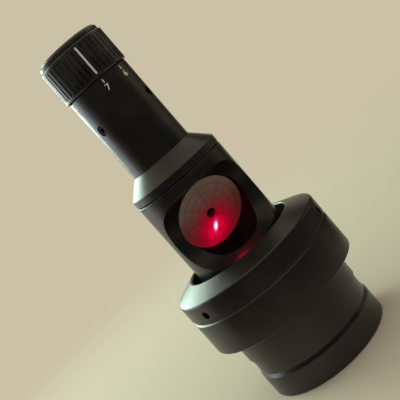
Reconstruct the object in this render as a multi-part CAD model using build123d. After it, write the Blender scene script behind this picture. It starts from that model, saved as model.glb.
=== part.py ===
from build123d import *
import math
import os

# Telescope alignment laser standing in its two inch twist-lock adapter, in millimetres.
# +Z runs up the optical axis towards the battery end, and the viewing window faces -Y.
# The origin is the centre of the adapter barrel's lower end.

# Clearances
THREAD_GAP = 0.05
SLIDE_GAP = 0.1
FACE_GAP = 0.05
LOOSE_GAP = 0.3
EDGE_BREAK = 0.4
CUT_PAST = 1.0

# Adapter barrel, the two inch standard
BARREL_DIAMETER = 50.8
BARREL_LENGTH = 27.0
BARREL_WALL = 2.8
BARREL_UNDERCUT_HEIGHT = 9.0
BARREL_UNDERCUT_LENGTH = 8.0
BARREL_UNDERCUT_DEPTH = 0.7
BARREL_THREAD_STEP = 0.8
BARREL_THREAD_LENGTH = 4.2
BARREL_SEAT_DEPTH = 0.8
BARREL_FILTER_DIAMETER = 47.2
BARREL_FILTER_DEPTH = 5.0

# Clamp body and twist ring
CLAMP_FLOOR = 2.3
CLAMP_WALL = 2.4
CLAMP_EDGE = 0.5
CLAMP_BORE_GAP = 0.175
SLEEVE_WALL = 8.25
RING_GROOVE = 1.0
RING_HEIGHT = 10.85
MOUTH_GAP = 3.2
MOUTH_DEPTH = 6.1
LIP_WIDTH = 0.8
LIP_ROUND = 0.7
CONE_DROP = 3.6
CONE_ROUND = 1.2
SKIRT_LENGTH = 7.0
SKIRT_WALL = 4.3
WASHER_INSET = 0.2

# Cam that pushes the clamp pins: lobes, each an offset bore
CAM_OFFSET = 1.4
CAM_REST_ANGLE = 50.0
PIN_COUNT = 3
PIN_FIRST_AZIMUTH = 90.0
PIN_DIAMETER = 5.0
PIN_DOME = 2.2
PIN_MARGIN = 0.7

# Screws: a key hole in each, and dog points on those that keep the twist ring on the sleeve
KEY_DEPTH = 1.4
SCREW_BEVEL = 0.3
RING_SCREW_COUNT = 3
RING_SCREW_FIRST_AZIMUTH = 90.0
RING_SCREW_DIAMETER = 3.0
RING_SCREW_KEY = 1.5
RING_SCREW_RECESS = 0.8
RING_SCREW_DROP = 2.0
DOG_DIAMETER = 1.8
DOG_REACH = 0.9

# Seat washer under the laser's shoulder
SEAT_WASHER_THICKNESS = 0.75
SEAT_WASHER_INSET = 0.25

# Laser nose, the 1.25 inch standard
NOSE_DIAMETER = 31.75
NOSE_LENGTH = 34.0
NOSE_WALL = 1.875
NOSE_THREAD_STEP = 0.675
NOSE_THREAD_LENGTH = 3.5
NOSE_FILTER_DIAMETER = 28.5
NOSE_FILTER_DEPTH = 5.0
NOSE_UNDERCUT_HEIGHT = 7.0
NOSE_UNDERCUT_LENGTH = 9.0
NOSE_UNDERCUT_DEPTH = 0.6

# Window body and its side window: a round bite cut across the tube, and a sight hole from the bite to the axis
SHOULDER_WIDTH = 3.125
BODY_ABOVE_TARGET = 18.2
BODY_THREAD_LENGTH = 2.0
BODY_LEDGE = 1.8
WINDOW_RADIUS = 15.1
WINDOW_FLOOR = 5.0
WINDOW_DROP = 0.7
SIGHT_HOLE_MARGIN = 0.45
SIGHT_HOLE_PAST = 1.0

# Target: a flanged plug with a 45 degree face that carries a printed plate
TARGET_HEIGHT = 20.0
TARGET_FLANGE_STEP = 0.75
TARGET_FLANGE_DEPTH = 4.7
TARGET_PLATE_THICKNESS = 0.8
BEAM_HOLE = 3.0
TARGET_SCREW_DIAMETER = 3.0
TARGET_SCREW_KEY = 1.5
TARGET_SCREW_HEIGHTS = (-4.0, 8.0)
TARGET_SCREW_BITE = 1.2
TARGET_SCREW_RECESS = 0.8
APERTURE_DIAMETER = 10.0
APERTURE_THICKNESS = 1.0
APERTURE_HOLE = 2.0

# Lock collar with a 45 degree back
COLLAR_GROOVE = 0.4
COLLAR_RIM = 2.9
COLLAR_LAND = 0.2
COLLAR_WALL = 1.8
COLLAR_SEAT = 2.1

# Laser housing, the rear tube
HOUSING_FLANGE_STEP = 2.3
HOUSING_FLANGE_THICKNESS = 2.0
HOUSING_WALL = 1.8
TAIL_WALL = 2.6
BULKHEAD = 2.4
SPIGOT_STEP = 1.1
SPIGOT_LENGTH = 5.0

# Laser module
MODULE_DIAMETER = 14.0
MODULE_LENGTH = 28.0
MODULE_LIFT = 3.8
MODULE_RING_HEIGHT = 4.0
MODULE_RING_SECTION = 2.0
MODULE_SEAT_LENGTH = 4.0
MODULE_BACK_BORE = 11.2
LENS_BORE_DEPTH = 12.0
LENS_DIAMETER = 6.4
LENS_THICKNESS = 2.4
LENS_CROWN = 0.5
LENS_NUT_WALL = 1.3
LENS_NUT_LENGTH = 5.0
LENS_NUT_DEPTH = 2.0
LENS_NUT_LIP = 1.0
DIODE_FLANGE_DIAMETER = 5.6
DIODE_FLANGE_THICKNESS = 1.2
DIODE_CAN_DIAMETER = 4.7
DIODE_CAN_LENGTH = 2.4
DIODE_LEAD_COUNT = 3
DIODE_LEAD_DIAMETER = 0.46
DIODE_LEAD_CIRCLE = 2.54
DIODE_SEAT_THICKNESS = 3.6

# Aiming screws round the back end of the module
ADJUST_SCREW_COUNT = 3
ADJUST_SCREW_FIRST_AZIMUTH = 90.0
ADJUST_SCREW_DIAMETER = 4.0
ADJUST_SCREW_KEY = 2.0
ADJUST_SCREW_DROP = 4.0
ADJUST_SCREW_RECESS = 0.4

# Driver board and rotary switch
BOARD_DIAMETER = 13.6
BOARD_THICKNESS = 1.2
BOARD_PART_CIRCLE = 8.0
CHIP_WIDTH = 2.8
CHIP_LENGTH = 3.0
CHIP_HEIGHT = 1.1
COIL_DIAMETER = 3.4
COIL_HEIGHT = 1.8
CAPACITOR_LENGTH = 2.6
CAPACITOR_WIDTH = 1.4
CAPACITOR_HEIGHT = 1.2
CONTACT_LENGTH = 4.2
CONTACT_PIN_DIAMETER = 2.2
CONTACT_PLUNGER_DIAMETER = 1.2
CONTACT_PLUNGER_LENGTH = 1.4
WAFER_THICKNESS = 7.0
SHAFT_DIAMETER = 6.0
SHAFT_FLAT = 0.8
SHAFT_BITE = 2.5

# Dimmer knob, coin cell and battery cap
KNOB_RIM = 0.8
KNOB_WEB = 1.6
KNURL_COUNT = 40
KNURL_DEPTH = 0.45
KNURL_MARGIN = 1.2
CLIP_THICKNESS = 0.8
CLIP_DROP = 1.9
CLIP_BITE = 0.65
CLIP_REACH = 0.45
CLIP_SLIT = 4.0
CELL_DIAMETER = 20.0
CELL_THICKNESS = 3.2
CELL_RIM = 0.6
CELL_GAP = 0.4
INSULATOR_THICKNESS = 0.4
CELL_SPRING_HEIGHT = 1.0
CELL_SPRING_THICKNESS = 0.3
CELL_SPRING_DIAMETER = 17.8
CELL_SPRING_HOLE = 8.8
PLUG_STEP = 0.7
PLUG_LENGTH = 2.6
CAP_OVERHANG = 0.4
CAP_HEIGHT = 1.9
SEAL_WIDTH = 0.9
SEAL_THICKNESS = 0.7
SEAL_BITE = 0.35
SEAL_ROUND = 0.2
COIN_SLOT_WIDTH = 2.0
COIN_SLOT_LENGTH = 16.0
COIN_SLOT_DEPTH = 1.2

# Radii of the adapter, from the laser's nose outwards
barrel_radius = BARREL_DIAMETER / 2
barrel_thread_radius = barrel_radius - BARREL_THREAD_STEP
nose_radius = NOSE_DIAMETER / 2
clamp_bore_radius = nose_radius + CLAMP_BORE_GAP
sleeve_radius = clamp_bore_radius + SLEEVE_WALL
cam_radius = sleeve_radius + LOOSE_GAP
skirt_radius = cam_radius + SKIRT_WALL
recess_radius = skirt_radius + LOOSE_GAP
adapter_radius = recess_radius + CLAMP_WALL

# Radii of the laser, from its nose up to the rear tube
nose_bore_radius = nose_radius - NOSE_WALL
nose_thread_radius = nose_radius - NOSE_THREAD_STEP
body_radius = nose_radius + SHOULDER_WIDTH
body_socket_radius = nose_thread_radius + THREAD_GAP
body_thread_radius = body_radius - COLLAR_WALL
body_bore_radius = body_socket_radius - BODY_LEDGE
sight_hole_radius = body_bore_radius + SIGHT_HOLE_MARGIN
target_radius = body_bore_radius - FACE_GAP
target_flange_bore = body_socket_radius + TARGET_FLANGE_STEP
mouth_radius = body_radius + MOUTH_GAP
collar_pocket_radius = body_thread_radius - COLLAR_SEAT
housing_flange_radius = collar_pocket_radius - SLIDE_GAP
housing_radius = housing_flange_radius - HOUSING_FLANGE_STEP
housing_bore_radius = housing_radius - HOUSING_WALL
spigot_radius = housing_radius - SPIGOT_STEP
tail_radius = spigot_radius - TAIL_WALL
module_radius = MODULE_DIAMETER / 2
module_seat_radius = module_radius + MODULE_RING_SECTION + 2 * FACE_GAP
lens_nut_bore = LENS_DIAMETER / 2 + THREAD_GAP
lens_nut_radius = lens_nut_bore + LENS_NUT_WALL
lens_bore_radius = lens_nut_radius + THREAD_GAP
shaft_radius = SHAFT_DIAMETER / 2

# Radii of the battery end, from the coin cell outwards
cell_radius = CELL_DIAMETER / 2
chamber_radius = cell_radius + CELL_GAP
plug_radius = chamber_radius + PLUG_STEP
cap_thread_radius = plug_radius + SLIDE_GAP
seal_inner_radius = cap_thread_radius + LOOSE_GAP
seal_outer_radius = seal_inner_radius + SEAL_WIDTH
cap_radius = seal_outer_radius + CAP_OVERHANG
rebate_radius = seal_outer_radius + LOOSE_GAP
knob_radius = max(housing_radius, rebate_radius) + KNOB_RIM

# Heights up the axis, from the floor to the battery cap
barrel_shelf = BARREL_LENGTH + BARREL_SEAT_DEPTH
barrel_thread_top = barrel_shelf + BARREL_THREAD_LENGTH
clamp_socket_top = barrel_thread_top + LOOSE_GAP
recess_floor = clamp_socket_top + CLAMP_FLOOR
skirt_bottom = recess_floor + LOOSE_GAP
ring_bottom = skirt_bottom + SKIRT_LENGTH
clamp_body_top = ring_bottom - RING_GROOVE
ring_top = ring_bottom + RING_HEIGHT
cone_bottom = ring_top - CONE_DROP
sleeve_top = ring_top - MOUTH_DEPTH
ring_screw_height = sleeve_top - RING_SCREW_DROP
pin_height = skirt_bottom + PIN_MARGIN + PIN_DIAMETER / 2
seat_washer_bottom = sleeve_top + FACE_GAP
seat_washer_top = seat_washer_bottom + SEAT_WASHER_THICKNESS
shoulder = seat_washer_top + FACE_GAP
nose_bottom = shoulder - NOSE_LENGTH
nose_thread_top = shoulder + NOSE_THREAD_LENGTH
body_socket_top = nose_thread_top + LOOSE_GAP
target_centre = shoulder + TARGET_HEIGHT
body_groove = target_centre + BODY_ABOVE_TARGET
body_top = body_groove + BODY_THREAD_LENGTH
target_seat = body_top - TARGET_FLANGE_DEPTH
target_top = body_top - FACE_GAP
flange_top = body_top + HOUSING_FLANGE_THICKNESS
module_bottom = body_top + MODULE_LIFT
module_top = module_bottom + MODULE_LENGTH
module_ring_height = module_bottom + MODULE_RING_HEIGHT
lens_seat = module_bottom + LENS_NUT_DEPTH + LENS_NUT_LIP
diode_seat_bottom = module_bottom + LENS_BORE_DEPTH
diode_seat_top = diode_seat_bottom + DIODE_SEAT_THICKNESS
diode_flange_bottom = diode_seat_top - DIODE_FLANGE_THICKNESS
adjust_height = module_top - ADJUST_SCREW_DROP
board_bottom = module_top + FACE_GAP
board_top = board_bottom + BOARD_THICKNESS
contact_top = board_top + CONTACT_LENGTH
wafer_bottom = contact_top + FACE_GAP
wafer_top = wafer_bottom + WAFER_THICKNESS
shaft_bottom = wafer_top - SHAFT_BITE
bulkhead_bottom = wafer_top + FACE_GAP
spigot_top = bulkhead_bottom + BULKHEAD
housing_shoulder = spigot_top - SPIGOT_LENGTH
clip_top = spigot_top - CLIP_DROP
clip_bottom = clip_top - CLIP_THICKNESS
knob_bottom = housing_shoulder + LOOSE_GAP
web_bottom = spigot_top + LOOSE_GAP
web_top = web_bottom + KNOB_WEB
cell_bottom = web_top + INSULATOR_THICKNESS
cell_top = cell_bottom + CELL_THICKNESS
plug_bottom = cell_top + CELL_SPRING_HEIGHT
knob_top = plug_bottom + PLUG_LENGTH
seal_bottom = knob_top - SEAL_BITE
seal_top = seal_bottom + SEAL_THICKNESS
cap_bottom = seal_top + FACE_GAP
cap_top = cap_bottom + CAP_HEIGHT

# The target's face: square to the line half way between the window and the nose
target_plane = Plane(origin=(0, 0, target_centre), x_dir=(1, 0, 0), z_dir=(0, -1, -1))
whole_length = 2 * cap_top


def turned(points):
    """Solid of revolution about the axis from a closed outline of (radius, height) points."""
    outline = Plane.XZ * Polyline(*points, close=True)
    return revolve(make_face(outline.edges()), Axis.Z)


def tube(outer, inner, low, high):
    """Plain ring between two heights."""
    return turned([(inner, low), (outer, low), (outer, high), (inner, high)])


def rod(diameter, length):
    """Round rod that starts at the origin and runs along +Z."""
    return Cylinder(diameter / 2, length, align=(Align.CENTER, Align.CENTER, Align.MIN))


def disc(radius, low, high):
    """Plain disc between two heights."""
    return Pos(0, 0, low) * rod(2 * radius, high - low)


def block_on(height, width, length, thickness):
    """Upright block that stands on a height, centred on the axis."""
    return Pos(0, 0, height) * Box(width, length, thickness, align=(Align.CENTER, Align.CENTER, Align.MIN))


def radial(shape, azimuth, height, radius):
    """Lays a shape that runs along +Z outwards from the axis, starting at a radius."""
    return Rot(0, 0, azimuth) * Pos(radius, 0, height) * Rot(0, 90, 0) * shape


def round_rim(shape, radius, height, rounding):
    """Rounds the turned edge at a radius and height."""
    near = FACE_GAP / 100
    rim = []
    for edge in shape.edges().filter_by(GeomType.CIRCLE):
        if abs(edge.radius - radius) < near and abs(edge.arc_center.Z - height) < near:
            rim.append(edge)
    return fillet(rim, rounding)


def azimuths(first, count):
    """Equal steps round the axis."""
    return [first + 360 / count * step for step in range(count)]


def grub_screw(diameter, length, key):
    """Headless screw along +Z from its tip, with bevelled ends and a hexagonal key hole in its far end."""
    screw = rod(diameter, length)
    screw = chamfer(screw.edges().filter_by(GeomType.CIRCLE), SCREW_BEVEL)
    socket = extrude(RegularPolygon(key / math.sqrt(3), 6), KEY_DEPTH + CUT_PAST)
    return screw - Pos(0, 0, length - KEY_DEPTH) * socket


def flat_sided_rod(radius, length):
    """Round rod along +Z with one flat side, a flat's depth in from the shaft's radius."""
    beyond = Pos(0, radius - SHAFT_FLAT, 0) * Box(
        whole_length, whole_length, whole_length, align=(Align.CENTER, Align.MIN, Align.CENTER)
    )
    return rod(2 * radius, length) - beyond


def undercut_barrel(radius, bore, filter_radius, thread_radius, heights, undercut):
    """Barrel with a safety undercut, a filter thread in its lower end and its own thread above."""
    bottom, filter_top, shelf, thread_top = heights
    low, length, depth = undercut
    waist = radius - depth
    return turned(
        [
            (filter_radius, bottom),
            (radius - EDGE_BREAK, bottom),
            (radius, bottom + EDGE_BREAK),
            (radius, low),
            (waist, low + 2 * depth),
            (waist, low + length),
            (radius, low + length),
            (radius, shelf),
            (thread_radius, shelf),
            (thread_radius, thread_top),
            (bore, thread_top),
            (bore, filter_top),
            (filter_radius, filter_top),
        ]
    )


def two_inch_barrel():
    """Adapter barrel that goes into a telescope's two inch focuser."""
    heights = (0, BARREL_FILTER_DEPTH, barrel_shelf, barrel_thread_top)
    undercut = (BARREL_UNDERCUT_HEIGHT, BARREL_UNDERCUT_LENGTH, BARREL_UNDERCUT_DEPTH)
    bore = barrel_radius - BARREL_WALL
    barrel = undercut_barrel(
        barrel_radius, bore, BARREL_FILTER_DIAMETER / 2, barrel_thread_radius, heights, undercut
    )
    # The land in the clamp body's seat is bevelled, so that the barrel's own wall ends at the flange
    outside = barrel_radius + CUT_PAST
    return barrel - turned(
        [
            (barrel_radius, BARREL_LENGTH),
            (outside, BARREL_LENGTH),
            (outside, barrel_shelf),
            (barrel_radius - EDGE_BREAK, barrel_shelf),
        ]
    )


def clamp_body():
    """Wide body with the barrel's seat, the bored sleeve, the ring's recess, pin holes and dog groove."""
    seat_radius = barrel_radius + THREAD_GAP
    socket_radius = barrel_thread_radius + THREAD_GAP
    body = turned(
        [
            (seat_radius, BARREL_LENGTH),
            (adapter_radius - EDGE_BREAK, BARREL_LENGTH),
            (adapter_radius, BARREL_LENGTH + EDGE_BREAK),
            (adapter_radius, clamp_body_top - CLAMP_EDGE),
            (adapter_radius - CLAMP_EDGE, clamp_body_top),
            (recess_radius, clamp_body_top),
            (recess_radius, recess_floor),
            (sleeve_radius, recess_floor),
            (sleeve_radius, sleeve_top),
            (clamp_bore_radius + EDGE_BREAK, sleeve_top),
            (clamp_bore_radius, sleeve_top - EDGE_BREAK),
            (clamp_bore_radius, clamp_socket_top),
            (socket_radius, clamp_socket_top),
            (socket_radius, barrel_shelf),
            (seat_radius, barrel_shelf),
        ]
    )
    half = DOG_DIAMETER / 2 + 2 * SLIDE_GAP
    groove_floor = sleeve_radius - DOG_REACH - LOOSE_GAP
    body -= tube(cam_radius, groove_floor, ring_screw_height - half, ring_screw_height + half)
    hole = rod(PIN_DIAMETER + SLIDE_GAP, SLEEVE_WALL + 2 * CUT_PAST)
    for azimuth in azimuths(PIN_FIRST_AZIMUTH, PIN_COUNT):
        body -= radial(hole, azimuth, pin_height, clamp_bore_radius - CUT_PAST)
    return body


def slip_washer():
    """Thin washer in the groove below the twist ring."""
    outer = adapter_radius - CLAMP_EDGE - WASHER_INSET
    return tube(outer, recess_radius + WASHER_INSET, clamp_body_top, ring_bottom - FACE_GAP)


def twist_ring():
    """Ring with the conical face, a round-lipped mouth, and a skirt whose bore is the clamp pins' cam."""
    ceiling = sleeve_top + LOOSE_GAP
    ring = turned(
        [
            (cam_radius, skirt_bottom),
            (skirt_radius, skirt_bottom),
            (skirt_radius, ring_bottom),
            (adapter_radius - EDGE_BREAK, ring_bottom),
            (adapter_radius, ring_bottom + EDGE_BREAK),
            (adapter_radius, cone_bottom),
            (mouth_radius + LIP_WIDTH, ring_top),
            (mouth_radius, ring_top),
            (mouth_radius, ceiling),
            (cam_radius, ceiling),
        ]
    )
    ring = round_rim(ring, mouth_radius, ring_top, min(LIP_ROUND, 0.9 * LIP_WIDTH))
    ring = round_rim(ring, adapter_radius, cone_bottom, CONE_ROUND)
    lobe = disc(cam_radius, skirt_bottom - CUT_PAST, ring_bottom)
    for azimuth in azimuths(PIN_FIRST_AZIMUTH - CAM_REST_ANGLE, PIN_COUNT):
        ring -= Rot(0, 0, azimuth) * Pos(CAM_OFFSET, 0, 0) * lobe
    hole = rod(RING_SCREW_DIAMETER + 2 * THREAD_GAP, adapter_radius)
    for azimuth in azimuths(RING_SCREW_FIRST_AZIMUTH, RING_SCREW_COUNT):
        ring -= radial(hole, azimuth, ring_screw_height, sleeve_radius)
    return ring


def ring_screws():
    """Dog-point grub screws in the twist ring, whose tips run in the sleeve's groove."""
    length = adapter_radius - RING_SCREW_RECESS - cam_radius
    dog_length = cam_radius - sleeve_radius + DOG_REACH + SCREW_BEVEL
    dog = Pos(0, 0, sleeve_radius - DOG_REACH - cam_radius) * rod(DOG_DIAMETER, dog_length)
    screw = grub_screw(RING_SCREW_DIAMETER, length, RING_SCREW_KEY) + dog
    return [
        radial(screw, azimuth, ring_screw_height, cam_radius)
        for azimuth in azimuths(RING_SCREW_FIRST_AZIMUTH, RING_SCREW_COUNT)
    ]


def cam_reach():
    """Radius of the cam bore where a clamp pin meets it in the clamped position."""
    angle = math.radians(CAM_REST_ANGLE)
    across = CAM_OFFSET * math.sin(angle)
    return CAM_OFFSET * math.cos(angle) + math.sqrt(cam_radius**2 - across**2)


def clamp_pin(azimuth):
    """Round-ended brass pin between the laser's nose and the cam."""
    start = nose_radius + SLIDE_GAP
    pin = rod(PIN_DIAMETER, cam_reach() - SLIDE_GAP - start)
    outer_rim = pin.edges().filter_by(GeomType.CIRCLE).sort_by(Axis.Z)[-1]
    pin = fillet(outer_rim, min(PIN_DOME, 0.45 * PIN_DIAMETER))
    return radial(pin, azimuth, pin_height, start)


def seat_washer():
    """Washer on top of the sleeve that the laser's shoulder stands on."""
    outer = body_radius - SEAT_WASHER_INSET
    inner = clamp_bore_radius + EDGE_BREAK
    return tube(outer, inner, seat_washer_bottom, seat_washer_top)


def nose_barrel():
    """Laser nose that goes into the adapter's sleeve."""
    heights = (nose_bottom, nose_bottom + NOSE_FILTER_DEPTH, shoulder, nose_thread_top)
    undercut = (nose_bottom + NOSE_UNDERCUT_HEIGHT, NOSE_UNDERCUT_LENGTH, NOSE_UNDERCUT_DEPTH)
    return undercut_barrel(
        nose_radius, nose_bore_radius, NOSE_FILTER_DIAMETER / 2, nose_thread_radius, heights, undercut
    )


def window_body():
    """Tube with the round window bite and its sight hole in the -Y side, threaded at both ends."""
    bevel = EDGE_BREAK / 2
    body = turned(
        [
            (body_socket_radius, shoulder),
            (body_radius - EDGE_BREAK, shoulder),
            (body_radius, shoulder + EDGE_BREAK),
            (body_radius, body_groove - bevel),
            (body_radius - bevel, body_groove),
            (body_thread_radius, body_groove),
            (body_thread_radius, body_top),
            (target_flange_bore, body_top),
            (target_flange_bore, target_seat),
            (body_bore_radius, target_seat),
            (body_bore_radius, body_socket_top),
            (body_socket_radius, body_socket_top),
        ]
    )
    bite = Rot(0, 90, 0) * Cylinder(WINDOW_RADIUS, whole_length)
    body -= Pos(0, -WINDOW_FLOOR - WINDOW_RADIUS, target_centre - WINDOW_DROP) * bite
    sight_hole = rod(2 * sight_hole_radius, body_radius + SIGHT_HOLE_PAST)
    body -= radial(sight_hole, 270, target_centre, -SIGHT_HOLE_PAST)
    hole = rod(TARGET_SCREW_DIAMETER + 2 * THREAD_GAP, body_radius)
    for height in TARGET_SCREW_HEIGHTS:
        body -= radial(hole, 90, target_centre + height, target_radius)
    return body


def target_block():
    """Flanged plug cut off at 45 degrees, with the beam hole and a pocket for the aperture disc."""
    block = disc(target_radius, shoulder, target_top)
    block += disc(target_flange_bore - THREAD_GAP, target_seat, target_top)
    ahead = Box(whole_length, whole_length, whole_length, align=(Align.CENTER, Align.CENTER, Align.MIN))
    block -= target_plane * Pos(0, 0, -TARGET_PLATE_THICKNESS) * ahead
    block -= rod(BEAM_HOLE, body_top)
    pocket_floor = target_top - APERTURE_THICKNESS - FACE_GAP
    block -= disc(APERTURE_DIAMETER / 2 + THREAD_GAP, pocket_floor, body_top)
    dimple = rod(TARGET_SCREW_DIAMETER + 2 * THREAD_GAP, body_radius)
    for height in TARGET_SCREW_HEIGHTS:
        block -= radial(dimple, 90, target_centre + height, target_radius - TARGET_SCREW_BITE)
    return block


def target_plate():
    """Printed plate on the block's 45 degree face, as wide as the block."""
    slab = Box(
        whole_length, whole_length, TARGET_PLATE_THICKNESS, align=(Align.CENTER, Align.CENTER, Align.MAX)
    )
    return (disc(target_radius, shoulder, body_top) & target_plane * slab) - rod(BEAM_HOLE, body_top)


def target_screws():
    """Grub screws through the back of the window body into the target block."""
    start = target_radius - TARGET_SCREW_BITE + THREAD_GAP
    length = body_radius - TARGET_SCREW_RECESS - start
    screw = grub_screw(TARGET_SCREW_DIAMETER, length, TARGET_SCREW_KEY)
    return [radial(screw, 90, target_centre + height, start) for height in TARGET_SCREW_HEIGHTS]


def aperture_disc():
    """Small disc that trims the beam, in the top of the target block."""
    return tube(APERTURE_DIAMETER / 2, APERTURE_HOLE / 2, target_top - APERTURE_THICKNESS, target_top)


def lock_collar():
    """Union collar that holds the housing's flange down on the window body, with a 45 degree back."""
    low = body_groove + COLLAR_GROOVE
    rim_top = low + COLLAR_RIM
    hole = housing_radius + THREAD_GAP
    land = hole + COLLAR_LAND
    cone_top = rim_top + body_radius - land
    thread = body_thread_radius + THREAD_GAP
    bevel = EDGE_BREAK / 2
    return turned(
        [
            (thread, low),
            (body_radius - bevel, low),
            (body_radius, low + bevel),
            (body_radius, rim_top),
            (land, cone_top),
            (hole, cone_top),
            (hole, flange_top + FACE_GAP),
            (collar_pocket_radius, flange_top + FACE_GAP),
            (collar_pocket_radius, body_top + FACE_GAP),
            (thread, body_top + FACE_GAP),
        ]
    )


def laser_housing():
    """Rear tube with a flange below, the module ring's seat, a closed tail and the aiming screws' holes."""
    seat_low = module_ring_height - MODULE_SEAT_LENGTH / 2
    seat_high = module_ring_height + MODULE_SEAT_LENGTH / 2
    tail_floor = wafer_bottom - LOOSE_GAP
    shaft_way = shaft_radius + 2 * LOOSE_GAP
    bevel = EDGE_BREAK / 2
    housing = turned(
        [
            (housing_bore_radius, body_top),
            (housing_flange_radius, body_top),
            (housing_flange_radius, flange_top),
            (housing_radius, flange_top),
            (housing_radius, housing_shoulder - bevel),
            (housing_radius - bevel, housing_shoulder),
            (spigot_radius, housing_shoulder),
            (spigot_radius, spigot_top),
            (shaft_way, spigot_top),
            (shaft_way, bulkhead_bottom),
            (tail_radius, bulkhead_bottom),
            (tail_radius, tail_floor),
            (housing_bore_radius, tail_floor),
            (housing_bore_radius, seat_high),
            (module_seat_radius, seat_high),
            (module_seat_radius, seat_low),
            (housing_bore_radius, seat_low),
        ]
    )
    groove_floor = spigot_radius - CLIP_BITE
    housing -= tube(housing_radius, groove_floor, clip_bottom - FACE_GAP, clip_top + FACE_GAP)
    hole = rod(ADJUST_SCREW_DIAMETER + 2 * THREAD_GAP, housing_radius)
    for azimuth in azimuths(ADJUST_SCREW_FIRST_AZIMUTH, ADJUST_SCREW_COUNT):
        housing -= radial(hole, azimuth, adjust_height, module_radius)
    return housing


def module_sleeve():
    """Brass barrel with the lens bore in front, the diode's seat and an open back."""
    flange = DIODE_FLANGE_DIAMETER / 2 + THREAD_GAP
    can = DIODE_CAN_DIAMETER / 2 + THREAD_GAP
    return turned(
        [
            (lens_bore_radius, module_bottom),
            (module_radius - EDGE_BREAK, module_bottom),
            (module_radius, module_bottom + EDGE_BREAK),
            (module_radius, module_top),
            (MODULE_BACK_BORE / 2, module_top),
            (MODULE_BACK_BORE / 2, diode_seat_top),
            (flange, diode_seat_top),
            (flange, diode_flange_bottom),
            (can, diode_flange_bottom),
            (can, diode_seat_bottom),
            (lens_bore_radius, diode_seat_bottom),
        ]
    )


def laser_diode():
    """Laser diode: a flanged metal can that faces the lens, with leads up to the driver board."""
    diode = disc(DIODE_FLANGE_DIAMETER / 2, diode_flange_bottom, diode_seat_top)
    diode += disc(DIODE_CAN_DIAMETER / 2, diode_flange_bottom - DIODE_CAN_LENGTH, diode_flange_bottom)
    lead = rod(DIODE_LEAD_DIAMETER, board_bottom - diode_seat_top)
    for azimuth in azimuths(0, DIODE_LEAD_COUNT):
        diode += Rot(0, 0, azimuth) * Pos(DIODE_LEAD_CIRCLE / 2, 0, diode_seat_top) * lead
    return diode


def collimating_lens():
    """Lens with one flat and one crowned face."""
    high = lens_seat + LENS_THICKNESS
    radius = LENS_DIAMETER / 2
    crown_radius = (radius**2 + LENS_CROWN**2) / (2 * LENS_CROWN)
    return disc(radius, lens_seat, high) & Pos(0, 0, high - crown_radius) * Sphere(crown_radius)


def lens_nut():
    """Threaded brass ring that holds the lens and sets its focus."""
    low = module_bottom + LENS_NUT_DEPTH
    high = low + LENS_NUT_LENGTH
    lip = lens_nut_bore - LENS_NUT_LIP
    return turned(
        [
            (lip, low),
            (lens_nut_radius, low),
            (lens_nut_radius, high),
            (lens_nut_bore, high),
            (lens_nut_bore, lens_seat),
            (lip, lens_seat),
        ]
    )


def module_ring():
    """Rubber ring between the module's front end and its seat, which the module pivots in."""
    middle = (module_seat_radius + module_radius) / 2
    return Pos(0, 0, module_ring_height) * Torus(middle, MODULE_RING_SECTION / 2)


def adjust_screw(azimuth):
    """Grub screw through the housing wall that bears on the back end of the module."""
    start = module_radius + FACE_GAP
    length = housing_radius - ADJUST_SCREW_RECESS - start
    screw = grub_screw(ADJUST_SCREW_DIAMETER, length, ADJUST_SCREW_KEY)
    return radial(screw, azimuth, adjust_height, start)


def driver_board():
    """Round circuit board on the back of the module."""
    return disc(BOARD_DIAMETER / 2, board_bottom, board_top)


def board_parts():
    """Driver chip, coil and two capacitors on top of the board, round the contact pin."""
    reach = BOARD_PART_CIRCLE / 2
    chip = block_on(board_top, CHIP_WIDTH, CHIP_LENGTH, CHIP_HEIGHT)
    coil = disc(COIL_DIAMETER / 2, board_top, board_top + COIL_HEIGHT)
    capacitor = block_on(board_top, CAPACITOR_LENGTH, CAPACITOR_WIDTH, CAPACITOR_HEIGHT)
    return [
        Pos(reach, 0, 0) * chip,
        Pos(-reach, 0, 0) * coil,
        Pos(0, reach, 0) * capacitor,
        Pos(0, -reach, 0) * capacitor,
    ]


def contact_pin():
    """Sprung contact from the board up to the switch."""
    barrel_top = contact_top - CONTACT_PLUNGER_LENGTH
    pin = disc(CONTACT_PIN_DIAMETER / 2, board_top, barrel_top)
    return pin + disc(CONTACT_PLUNGER_DIAMETER / 2, barrel_top, contact_top)


def switch_wafer():
    """Rotary dimmer switch, a round block under the bulkhead with a socket for its shaft."""
    block = disc(tail_radius - THREAD_GAP, wafer_bottom, wafer_top)
    return block - disc(shaft_radius + SLIDE_GAP, shaft_bottom - LOOSE_GAP, spigot_top)


def switch_shaft():
    """Shaft with one flat that turns the switch with the knob."""
    return Pos(0, 0, shaft_bottom) * flat_sided_rod(shaft_radius, web_top - shaft_bottom)


def knob_clip():
    """Split ring in the housing's groove that keeps the knob on."""
    inner = spigot_radius - CLIP_BITE + FACE_GAP
    ring = tube(spigot_radius + CLIP_REACH, inner, clip_bottom, clip_top)
    slit = Pos(0, spigot_radius, 0) * block_on(knob_bottom, CLIP_SLIT, spigot_radius, SPIGOT_LENGTH)
    return ring - slit


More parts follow.
